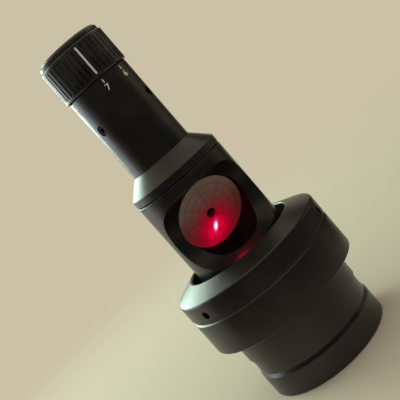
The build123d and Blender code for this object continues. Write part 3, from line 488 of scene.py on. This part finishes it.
def printed_target(name, look, marks):
    """Grey-anodised plate with screen-printed rings and spokes, with its own laser's spot and red pool painted
    on as glow.
    """
    # The print is flat and matt, its lines a little darker than the face, and the plate's cut sides are black
    # under a weak share of the glow. The beam burns out to white where it lands, and the face scatters the
    # rest as a red pool that swallows the grey; spot, pool and the grey's loss are all painted on as glow and
    # colour.
    material, tree, shader, place = blank(name)
    radius = axis_distance(tree, place)
    line = target_lines(tree, radius, place, marks)
    grit = add(tree, "ShaderNodeTexNoise", {"Scale": 1 / (0.4 * MM), "Detail": 2.0}, {"Vector": place})
    cloud = add(tree, "ShaderNodeTexNoise", {"Scale": 1 / (6 * MM), "Detail": 3.0}, {"Vector": place})
    face = mottled(tree, look.target_face, look.target_line, cloud.outputs["Fac"], 0.45, 0.9, 0.5)
    printed = add(tree, "ShaderNodeMix", {7: (*look.target_line, 1)}, {0: line, 6: face}, data_type="RGBA")
    pool = red_pool(tree, place, line, marks)
    side = cut_sides(tree, radius, marks)
    # The grey of the base colour is painted away towards black under the red pool, faster than the red grows
    unlit = add(tree, "ShaderNodeMath", {0: 1.0}, {1: pool}, operation="SUBTRACT", use_clamp=True)
    left = add(tree, "ShaderNodeMath", {1: 5.5}, {0: unlit.outputs[0]}, operation="POWER")
    grey = add(tree, "ShaderNodeMath", {1: 1.0}, {0: side}, operation="LESS_THAN")
    bare = add(tree, "ShaderNodeMath", links={0: left.outputs[0], 1: grey.outputs[0]}, operation="MULTIPLY")
    base = add(tree, "ShaderNodeMix", {6: (*look.matt_black, 1)}, {0: bare.outputs[0], 7: printed.outputs[2]},
               data_type="RGBA")
    # The cut sides carry a weaker painted red glow of the laser's light
    strength = add(tree, "ShaderNodeMapRange", {"To Min": 1.0, "To Max": 0.12}, {"Value": side})
    join(tree, shader, {"Specular IOR Level": 0.2},
         {"Base Color": base.outputs[2], "Emission Color": laser_light(tree, place, pool, look, marks),
          "Emission Strength": strength.outputs["Result"]})
    grained(tree, shader, grit.outputs["Fac"], roughness=0.56, spread=0.06, strength=0.1, depth=0.01 * MM)
    return material


def moulded(name, dark, pale, grain, roughness, ior):
    """A moulded plastic or rubber piece, with the fine texture of its mould."""
    # The skin takes the mould's spark-eroded grain: even colour, a low sheen and a faint mottle.
    material, tree, shader, place = blank(name)
    skin = add(tree, "ShaderNodeTexNoise", {"Scale": 1 / grain, "Detail": 3.0}, {"Vector": place})
    cloud = add(tree, "ShaderNodeTexNoise", {"Scale": 1 / (6 * grain), "Detail": 2.0}, {"Vector": place})
    shade = mottled(tree, dark, pale, cloud.outputs["Fac"], 0.35, 0.75)
    join(tree, shader, {"IOR": ior}, {"Base Color": shade})
    grained(tree, shader, skin.outputs["Fac"], roughness, spread=0.08, strength=0.15)
    return material


def turned_metal(name, bright, dull, pitch, roughness):
    """A bare or plated metal piece, turned or drawn, with tool marks round the axis and some tarnish."""
    # Metal shows its surroundings, stretched by the tool marks, and tarnish dulls it in clouds.
    material, tree, shader, place = blank(name)
    rings = add(tree, "ShaderNodeTexNoise", {"Scale": 1 / pitch, "Detail": 2.0},
                {"Vector": turned_profile(tree, place, axis_distance(tree, place))})
    cloud = add(tree, "ShaderNodeTexNoise", {"Scale": 1 / (3 * MM), "Detail": 4.0}, {"Vector": place})
    shade = mottled(tree, bright, dull, cloud.outputs["Fac"], 0.45, 0.8)
    join(tree, shader, {"Metallic": 1.0}, {"Base Color": shade})
    grained(tree, shader, rings.outputs["Fac"], roughness, spread=0.07, strength=0.12)
    return material


def blacked_steel(name, look):
    """Steel screws, headed and blacked in hot oxide salts."""
    # The oil-dark oxide is thin: it gleams like dark metal and rubs bright on the rims of the key holes.
    material, tree, shader, place = blank(name)
    cloud = add(tree, "ShaderNodeTexNoise", {"Scale": 1 / (1.5 * MM), "Detail": 4.0}, {"Vector": place})
    shade = mottled(tree, look.black_steel, look.oxide_worn, worn_edges(tree, 0.12 * MM), 0.0, 1.0, 0.6)
    join(tree, shader, {"Metallic": 1.0}, {"Base Color": shade})
    grained(tree, shader, cloud.outputs["Fac"], roughness=0.4, spread=0.1, strength=0.1)
    return material


def ground_glass_lens(name, look):
    """Crown glass, ground, polished and thinly coated."""
    # Clear, with a sharp gleam, a faint coating and a dust mark or two.
    material, tree, shader, place = blank(name)
    dust = add(tree, "ShaderNodeTexNoise", {"Scale": 1 / (0.5 * MM), "Detail": 3.0}, {"Vector": place})
    rough = add(tree, "ShaderNodeMapRange",
                {"From Min": 0.55, "From Max": 0.8, "To Min": 0.02, "To Max": 0.2},
                {"Value": dust.outputs["Fac"]})
    join(tree, shader, {"Base Color": (*look.glass, 1), "Transmission Weight": 1.0, "IOR": 1.52},
         {"Roughness": rough.outputs["Result"]})
    return material


def lacquered_board(name, look):
    """Glass-fibre board with green solder lacquer over copper tracks."""
    # The lacquer is glossy and shows the tracks under it as paler, raised lines.
    material, tree, shader, place = blank(name)
    # Tracks run square to each other, about 1 mm apart
    tracks = add(tree, "ShaderNodeTexBrick",
                 {"Scale": 1 / (2.4 * MM), "Mortar Size": 0.06, "Mortar Smooth": 0.2, "Bias": 0.0,
                  "Color1": (*look.board, 1), "Color2": (*look.board, 1), "Mortar": (*look.tracks, 1)},
                 {"Vector": place})
    cloud = add(tree, "ShaderNodeTexNoise", {"Scale": 1 / (2 * MM), "Detail": 2.0}, {"Vector": place})
    rough = add(tree, "ShaderNodeMapRange", {"To Min": 0.2, "To Max": 0.36}, {"Value": cloud.outputs["Fac"]})
    bump = add(tree, "ShaderNodeBump", {"Strength": 0.3, "Distance": 0.03 * MM},
               {"Height": tracks.outputs["Fac"]})
    join(tree, shader, links={"Base Color": tracks.outputs["Color"], "Roughness": rough.outputs["Result"],
                              "Normal": bump.outputs[0]})
    return material


def dial_ink(name, look):
    """Epoxy ink, pad-printed on the tube and wiped into the index flute."""
    # Nearly flat white, a little uneven where it was wiped, and dirtied in patches.
    material, tree, shader, place = blank(name)
    wipe = add(tree, "ShaderNodeTexNoise", {"Scale": 1 / (0.7 * MM), "Detail": 4.0}, {"Vector": place})
    shade = mottled(tree, look.dial_ink, look.soiled_ink, wipe.outputs["Fac"], 0.5, 0.85, 0.6)
    rough = add(tree, "ShaderNodeMapRange", {"To Min": 0.42, "To Max": 0.6}, {"Value": wipe.outputs["Fac"]})
    join(tree, shader, links={"Base Color": shade, "Roughness": rough.outputs["Result"]})
    return material


def helical_thread(radius, pitch, low, tall, ridge, steps_per_turn):
    """A thread ridge in a bore: a triangle swept along a helix, run out to nothing at both ends."""
    made = bmesh.new()
    # The ridge's foot takes most of the pitch and is sunk a little into the bore's wall
    half_foot = 0.42 * pitch
    foot = radius + 0.02 * MM
    run_out_turns = 0.25
    least_share = 0.05
    steps = round(tall / pitch * steps_per_turn)
    previous = None
    for step in range(steps + 1):
        turns = step / steps_per_turn
        turns_left = (steps - step) / steps_per_turn
        share = max(min(1.0, turns / run_out_turns, turns_left / run_out_turns), least_share)
        turn = 2 * math.pi * turns
        middle = low + pitch * turns
        corners = []
        for out, rise in ((foot, -half_foot), (radius - ridge * share, 0.0), (foot, half_foot)):
            corners.append(made.verts.new((out * math.cos(turn), out * math.sin(turn), middle + rise)))
        if previous is None:
            made.faces.new(corners)
        else:
            for k in range(3):
                made.faces.new((previous[k], previous[(k + 1) % 3], corners[(k + 1) % 3], corners[k]))
        previous = corners
    made.faces.new(previous)
    return made


def wrap(made, radius, azimuth, height, first):
    """Bends flat marks from the drawing plane onto the tube: X runs round it, Y up it and Z out of it."""
    made.verts.ensure_lookup_table()
    for vert in made.verts[first:]:
        out = radius + vert.co.z
        turn = azimuth + vert.co.x / radius
        vert.co = (out * math.cos(turn), out * math.sin(turn), height + vert.co.y)


def flat_digit(made, character, tall, thick):
    """Adds a number to the drawing plane as a thin solid, cut into strips so that it can bend."""
    curve = bpy.data.curves.new("digit", "FONT")
    curve.body = character
    # A number stands 0.7 of the font's full size high
    curve.size = tall / 0.7
    curve.align_x = "CENTER"
    curve.align_y = "CENTER"
    curve.extrude = thick / 2
    curve.resolution_u = 4
    drawn = bpy.data.objects.new("digit", curve)
    bpy.context.scene.collection.objects.link(drawn)
    mesh = bpy.data.meshes.new_from_object(drawn.evaluated_get(bpy.context.evaluated_depsgraph_get()))
    cut = bmesh.new()
    cut.from_mesh(mesh)
    strip = tall / 10
    for k in range(-4, 5):
        bmesh.ops.bisect_plane(cut, geom=cut.verts[:] + cut.edges[:] + cut.faces[:],
                               plane_co=(k * strip, 0, 0), plane_no=(1, 0, 0))
    bmesh.ops.remove_doubles(cut, verts=cut.verts[:], dist=0.004 * MM)
    cut.to_mesh(mesh)
    cut.free()
    made.from_mesh(mesh)
    bpy.data.objects.remove(drawn)
    bpy.data.curves.remove(curve)
    bpy.data.meshes.remove(mesh)


def close_prism(made, first_end, second_end):
    """Closes two like outlines into a solid."""
    made.faces.new(first_end)
    made.faces.new(second_end[::-1])
    for k in range(len(first_end)):
        after = (k + 1) % len(first_end)
        made.faces.new((first_end[k], second_end[k], second_end[after], first_end[after]))


def flat_tick(made, wide, tall, thick):
    """Adds a tick to the drawing plane: a thin block with rounded ends."""
    outline = []
    for end, first in ((1, 0.0), (-1, math.pi)):
        for k in range(7):
            turn = first + math.pi * k / 6
            outline.append((wide / 2 * math.cos(turn), end * (tall - wide) / 2 + wide / 2 * math.sin(turn)))
    top = [made.verts.new((x, y, thick / 2)) for x, y in outline]
    bottom = [made.verts.new((x, y, -thick / 2)) for x, y in outline]
    close_prism(made, top, bottom)


def dial_marks(marks):
    """The dial on the rear tube: a number and a tick for each step of the knob."""
    tick_height = knob_low.z - marks.dial_gap - marks.tick_length / 2
    digit_height = tick_height - marks.tick_length / 2 - marks.digit_gap - marks.digit_height / 2
    # Half of the ink's solid is sunk into the tube
    thick = 2 * marks.ink_thickness
    made = bmesh.new()
    for step in range(marks.dial_steps + 1):
        azimuth = marks.dial_azimuth + step * marks.dial_step_angle
        first = len(made.verts)
        flat_digit(made, str(marks.dial_steps - step), marks.digit_height, thick)
        wrap(made, marks.dial_radius, azimuth, digit_height, first)
        first = len(made.verts)
        flat_tick(made, marks.tick_width, marks.tick_length, thick)
        wrap(made, marks.dial_radius, azimuth, tick_height, first)
    return made


def index_fill(marks):
    """The ink in the knob's index flute: a wedge on the flute's floor, with a hollow face."""
    floor = knob_high.x - marks.flute_depth
    sunk = floor - 0.01 * MM
    half = 0.72 * marks.flute_depth
    hollow = floor + 0.62 * half
    section = ((-half, floor + half), (0.0, sunk), (half, floor + half),
               (half / 2, hollow), (-half / 2, hollow))
    made = bmesh.new()
    ends = []
    for height in (knob_low.z + marks.flute_margin, knob_high.z - marks.flute_margin):
        ends.append([made.verts.new((side, -out, height)) for side, out in section])
    close_prism(made, *ends)
    return made


class LASER_OT_anodised(bpy.types.Operator):
    """Finish the turned aluminium parts in black anodising"""

    bl_idname = "laser.anodised"
    bl_label = "Anodised parts"

    def execute(self, context):
        look = context.scene.laser_finishes
        marks = context.scene.laser_marks
        nose_inside = marks.nose_bore + 0.2 * MM
        coat(black_anodised("black_anodised_turned_aluminium", look, wear=0.35), "two_inch_barrel",
             "clamp_body", "twist_ring", "lock_collar", "laser_housing", "battery_cap")
        coat(black_anodised("black_anodised_aluminium_matt_bore", look, wear=0.35, matt_bore=nose_inside),
             "nose_barrel")
        coat(black_anodised("black_anodised_milled_aluminium", look, wear=0.35, window=marks), "window_body")
        coat(black_anodised("black_anodised_knurled_aluminium", look, wear=0.8), "dimmer_knob")
        return {"FINISHED"}


class LASER_OT_matt_insides(bpy.types.Operator):
    """Finish the target block and the aperture in matt black"""

    bl_idname = "laser.matt_insides"
    bl_label = "Matt black insides"

    def execute(self, context):
        coat(blasted_black("black_anodised_blasted_aluminium", context.scene.laser_finishes),
             "target_block", "aperture_disc")
        return {"FINISHED"}


class LASER_OT_target(bpy.types.Operator):
    """Print the target plate and light it with the laser's spot"""

    bl_idname = "laser.target"
    bl_label = "Target plate"

    def execute(self, context):
        coat(printed_target("screen_printed_target_plate", context.scene.laser_finishes,
                            context.scene.laser_marks), "target_plate")
        return {"FINISHED"}


class LASER_OT_washers(bpy.types.Operator):
    """Finish the two washers in moulded nylon"""

    bl_idname = "laser.washers"
    bl_label = "Nylon washers"

    def execute(self, context):
        look = context.scene.laser_finishes
        coat(moulded("black_nylon_moulded", look.nylon, look.pale_nylon, grain=0.3 * MM, roughness=0.45,
                     ior=1.53), "slip_washer", "seat_washer")
        return {"FINISHED"}


class LASER_OT_screws(bpy.types.Operator):
    """Finish the ring, target and aiming screws in blacked steel"""

    bl_idname = "laser.screws"
    bl_label = "Blacked screws"

    def execute(self, context):
        coat(blacked_steel("hot_blacked_steel", context.scene.laser_finishes), "ring_screws", "target_screws",
             "adjust_screw_1", "adjust_screw_2", "adjust_screw_3")
        return {"FINISHED"}


class LASER_OT_bare_metals(bpy.types.Operator):
    """Finish the brass, gilt and bright steel parts"""

    bl_idname = "laser.bare_metals"
    bl_label = "Brass, gilt and steel"

    def execute(self, context):
        look = context.scene.laser_finishes
        coat(turned_metal("turned_brass", look.brass, look.dull_brass, pitch=0.3 * MM, roughness=0.28),
             "clamp_pin_1", "clamp_pin_2", "clamp_pin_3", "module_sleeve", "lens_nut")
        coat(turned_metal("gold_plated_brass", look.gilt, look.dull_gilt, pitch=0.2 * MM, roughness=0.22),
             "laser_diode", "contact_pin")
        coat(turned_metal("nickel_bright_steel", look.steel, look.dull_steel, pitch=0.25 * MM,
                          roughness=0.26), "switch_shaft", "knob_clip", "coin_cell", "cell_spring")
        return {"FINISHED"}


class LASER_OT_seals(bpy.types.Operator):
    """Finish the module ring and the cap seal in moulded rubber"""

    bl_idname = "laser.seals"
    bl_label = "Rubber rings"

    def execute(self, context):
        look = context.scene.laser_finishes
        coat(moulded("nitrile_rubber_moulded", look.rubber, look.pale_rubber, grain=0.2 * MM, roughness=0.6,
                     ior=1.52), "module_ring", "cap_seal")
        return {"FINISHED"}


class LASER_OT_lens(bpy.types.Operator):
    """Finish the collimating lens in ground glass"""

    bl_idname = "laser.lens"
    bl_label = "Lens"

    def execute(self, context):
        coat(ground_glass_lens("ground_crown_glass", context.scene.laser_finishes), "collimating_lens")
        return {"FINISHED"}


class LASER_OT_electrics(bpy.types.Operator):
    """Finish the driver board, its parts, the rotary switch and the cell's insulator"""

    bl_idname = "laser.electrics"
    bl_label = "Board, switch and insulator"

    def execute(self, context):
        look = context.scene.laser_finishes
        coat(lacquered_board("lacquered_glass_fibre_board", look), "driver_board")
        coat(moulded("epoxy_moulded_chips", look.chip, look.pale_chip, grain=0.15 * MM, roughness=0.5,
                     ior=1.55), "board_parts")
        coat(moulded("phenolic_moulded_wafer", look.wafer, look.pale_wafer, grain=0.4 * MM, roughness=0.42,
                     ior=1.6), "switch_wafer")
        coat(moulded("polyester_rolled_film", look.film, look.pale_film, grain=0.8 * MM, roughness=0.32,
                     ior=1.58), "cell_insulator")
        return {"FINISHED"}


class LASER_OT_dial(bpy.types.Operator):
    """Print the brightness dial on the rear tube and fill the knob's index flute"""

    bl_idname = "laser.dial"
    bl_label = "Brightness dial"

    def execute(self, context):
        marks = context.scene.laser_marks
        ink = dial_ink("white_epoxy_ink", context.scene.laser_finishes)
        new_piece("dial_scale", dial_marks(marks), ink, "laser")
        new_piece("knob_index", index_fill(marks), ink, "knob")
        return {"FINISHED"}


class LASER_OT_threads(bpy.types.Operator):
    """Cut the filter threads inside the barrel and the nose"""

    bl_idname = "laser.threads"
    bl_label = "Filter threads"

    def execute(self, context):
        marks = context.scene.laser_marks
        skin = black_anodised("black_anodised_cut_thread", context.scene.laser_finishes, wear=0.5)
        made = helical_thread(marks.barrel_bore, marks.barrel_pitch, barrel_end + marks.thread_start,
                              marks.thread_length, marks.barrel_ridge, steps_per_turn=96)
        new_piece("barrel_filter_thread", made, skin, "adapter")
        made = helical_thread(marks.nose_bore, marks.nose_pitch, nose_end + marks.thread_start,
                              marks.thread_length, marks.nose_ridge, steps_per_turn=72)
        new_piece("nose_filter_thread", made, skin, "laser")
        return {"FINISHED"}


def seen_directly(tree):
    """Gives 1 for what the eye, metal and glass look at, and 0 for the light that falls on other things."""
    ray = add(tree, "ShaderNodeLightPath")
    direct = add(tree, "ShaderNodeMath",
                 links={0: ray.outputs["Is Camera Ray"], 1: ray.outputs["Is Glossy Ray"]}, operation="ADD")
    return add(tree, "ShaderNodeMath", links={0: direct.outputs[0], 1: ray.outputs["Is Transmission Ray"]},
               operation="ADD", use_clamp=True).outputs[0]


def pale_paper(name, stage):
    """Pale paper that takes the object's shadow and fades into the backdrop with distance."""
    material, tree, shader, place = blank(name)
    fibre = add(tree, "ShaderNodeTexNoise", {"Scale": 1 / (0.8 * MM), "Detail": 3.0}, {"Vector": place})
    shade = mottled(tree, stage.paper, [0.96 * c for c in stage.paper], fibre.outputs["Fac"], 0.0, 1.0)
    join(tree, shader, {"Roughness": 0.9}, {"Base Color": shade})
    away = add(tree, "ShaderNodeVectorMath", links={0: place}, operation="LENGTH")
    far = add(tree, "ShaderNodeMapRange", {"From Min": 0.1, "From Max": 0.45},
              {"Value": away.outputs["Value"]}, interpolation_type="SMOOTHSTEP")
    fade = add(tree, "ShaderNodeMath", links={0: seen_directly(tree), 1: far.outputs["Result"]},
               operation="MULTIPLY")
    glow = add(tree, "ShaderNodeEmission", {"Color": (*stage.paper, 1), "Strength": 1.0})
    both = add(tree, "ShaderNodeMixShader",
               links={0: fade.outputs[0], 1: shader.outputs[0], 2: glow.outputs[0]})
    output = next(node for node in tree.nodes if node.type == "OUTPUT_MATERIAL")
    join(tree, output, links={"Surface": both.outputs[0]})
    return material


def black_felt(name, stage):
    """Black felt for the card that stands in front of the object, out of the camera's sight."""
    material, tree, shader, place = blank(name)
    nap = add(tree, "ShaderNodeTexNoise", {"Scale": 1 / (2 * MM), "Detail": 2.0}, {"Vector": place})
    shade = mottled(tree, stage.card, [1.6 * c for c in stage.card], nap.outputs["Fac"], 0.0, 1.0)
    join(tree, shader, {"Roughness": 1.0, "Specular IOR Level": 0.0}, {"Base Color": shade})
    return material


def pale_world(stage):
    """The pale backdrop, which the eye, metal and glass see as paper, and the room's even light."""
    world = bpy.data.worlds.new("pale_studio")
    bpy.context.scene.world = world
    world.use_nodes = True
    tree = world.node_tree
    tree.nodes.clear()
    shade = add(tree, "ShaderNodeMix", {6: (*stage.room_light, 1), 7: (*stage.paper, 1)},
                {0: seen_directly(tree)}, data_type="RGBA")
    sky = add(tree, "ShaderNodeBackground", links={"Color": shade.outputs[2]})
    add(tree, "ShaderNodeOutputWorld", links={"Surface": sky.outputs[0]})


def paper_floor(stage):
    """The round floor, a hair below the barrel's end."""
    made = bmesh.new()
    bmesh.ops.create_circle(made, cap_ends=True, segments=96, radius=stage.floor_radius)
    floor = mesh_object("paper_floor", made, pale_paper("pale_paper", stage))
    floor.location.z = -0.2 * MM
    return floor


def dark_card(stage):
    """A card from the left round the front to the right, so that those sides reflect a dark room."""
    made = bmesh.new()
    steps = 40
    previous = None
    for k in range(steps + 1):
        pair = []
        for height, sweep in ((0.0, stage.card_foot), (stage.card_height, stage.card_top)):
            turn = stage.card_start + sweep * k / steps
            foot = stage.card_radius * Vector((math.cos(turn), math.sin(turn), 0.0))
            pair.append(made.verts.new(foot + Vector((0.0, 0.0, height))))
        if previous:
            made.faces.new((previous[0], pair[0], pair[1], previous[1]))
        previous = pair
    card = mesh_object("dark_card", made, black_felt("black_felt", stage))
    card.visible_camera = False
    card.visible_diffuse = False
    card.visible_shadow = False
    return card


def soft_lamp(name, place, aim, size, roll, watts, tint):
    """A soft box that points at the object and stays out of the picture itself."""
    data = bpy.data.lights.new(name, "AREA")
    data.shape = "RECTANGLE"
    data.size, data.size_y = size
    data.energy = watts
    data.color = tint
    lamp = bpy.data.objects.new(name, data)
    lamp.location = place
    lamp.rotation_euler = (aim - Vector(place)).to_track_quat("-Z", "Y").to_euler()
    lamp.rotation_euler.rotate_axis("Z", math.radians(roll))
    lamp.visible_camera = False
    bpy.context.scene.collection.objects.link(lamp)
    return lamp


def tilted_camera(stage, aim):
    """The camera, at the photograph's place and tilted about its own view line."""
    data = bpy.data.cameras.new("camera")
    data.lens = stage.lens
    data.sensor_width = 36.0
    data.clip_start = 0.01
    data.clip_end = 50.0
    camera = bpy.data.objects.new("camera", data)
    place = Vector((stage.camera_distance * math.sin(stage.camera_azimuth),
                    -stage.camera_distance * math.cos(stage.camera_azimuth), stage.camera_height))
    ahead = (aim - place).normalized()
    right = ahead.cross(Vector((0, 0, 1))).normalized()
    up = right.cross(ahead)
    tilted_right = math.cos(stage.camera_roll) * right + math.sin(stage.camera_roll) * up
    tilted_up = math.cos(stage.camera_roll) * up - math.sin(stage.camera_roll) * right
    turned = Matrix((tilted_right, tilted_up, -ahead)).transposed().to_4x4()
    camera.matrix_world = Matrix.Translation(place) @ turned
    bpy.context.scene.collection.objects.link(camera)
    return camera


class LASER_OT_stage(bpy.types.Operator):
    """Set up the floor, the light and the camera"""

    bl_idname = "laser.stage"
    bl_label = "Stage"

    def execute(self, context):
        stage = context.scene.laser_stage
        context.scene.view_settings.view_transform = "Standard"
        pale_world(stage)
        floor = paper_floor(stage)
        card = dark_card(stage)
        aim = Vector((0, 0, stage.aim_height))
        for name, (place, size, roll, in_gloss) in LAMPS.items():
            lamp = soft_lamp(f"{name}_lamp", place, aim, size, roll, getattr(stage, f"{name}_power"),
                             getattr(stage, f"{name}_light"))
            lamp.visible_glossy = in_gloss
        context.scene.camera = tilted_camera(stage, aim)
        return {"FINISHED"}


OPERATORS = (LASER_OT_anodised, LASER_OT_matt_insides, LASER_OT_target, LASER_OT_washers, LASER_OT_screws,
             LASER_OT_bare_metals, LASER_OT_seals, LASER_OT_lens, LASER_OT_electrics, LASER_OT_dial,
             LASER_OT_threads, LASER_OT_stage)
GROUPS = {"laser_finishes": LaserFinishes, "laser_marks": LaserMarks, "laser_stage": LaserStage}


class LASER_PT_panel(bpy.types.Panel):
    """Lists the laser's steps and the sizes and colours they use"""

    bl_idname = "LASER_PT_panel"
    bl_label = "Alignment laser"
    bl_space_type = "VIEW_3D"
    bl_region_type = "UI"
    bl_category = "Laser"

    def draw(self, context):
        for step in OPERATORS:
            self.layout.operator(step.bl_idname)
        for group, kind in GROUPS.items():
            box = self.layout.box()
            for name in kind.__annotations__:
                box.prop(getattr(context.scene, group), name)


def register():
    for kind in (*GROUPS.values(), *OPERATORS, LASER_PT_panel):
        bpy.utils.register_class(kind)
    for group, kind in GROUPS.items():
        setattr(bpy.types.Scene, group, PointerProperty(type=kind))


def unregister():
    for group in GROUPS:
        delattr(bpy.types.Scene, group)
    for kind in (LASER_PT_panel, *reversed(OPERATORS), *reversed(GROUPS.values())):
        bpy.utils.unregister_class(kind)


def main():
    register()
    for step in OPERATORS:
        getattr(bpy.ops.laser, step.bl_idname.split(".")[1])()


if __name__ == "__main__":
    main()
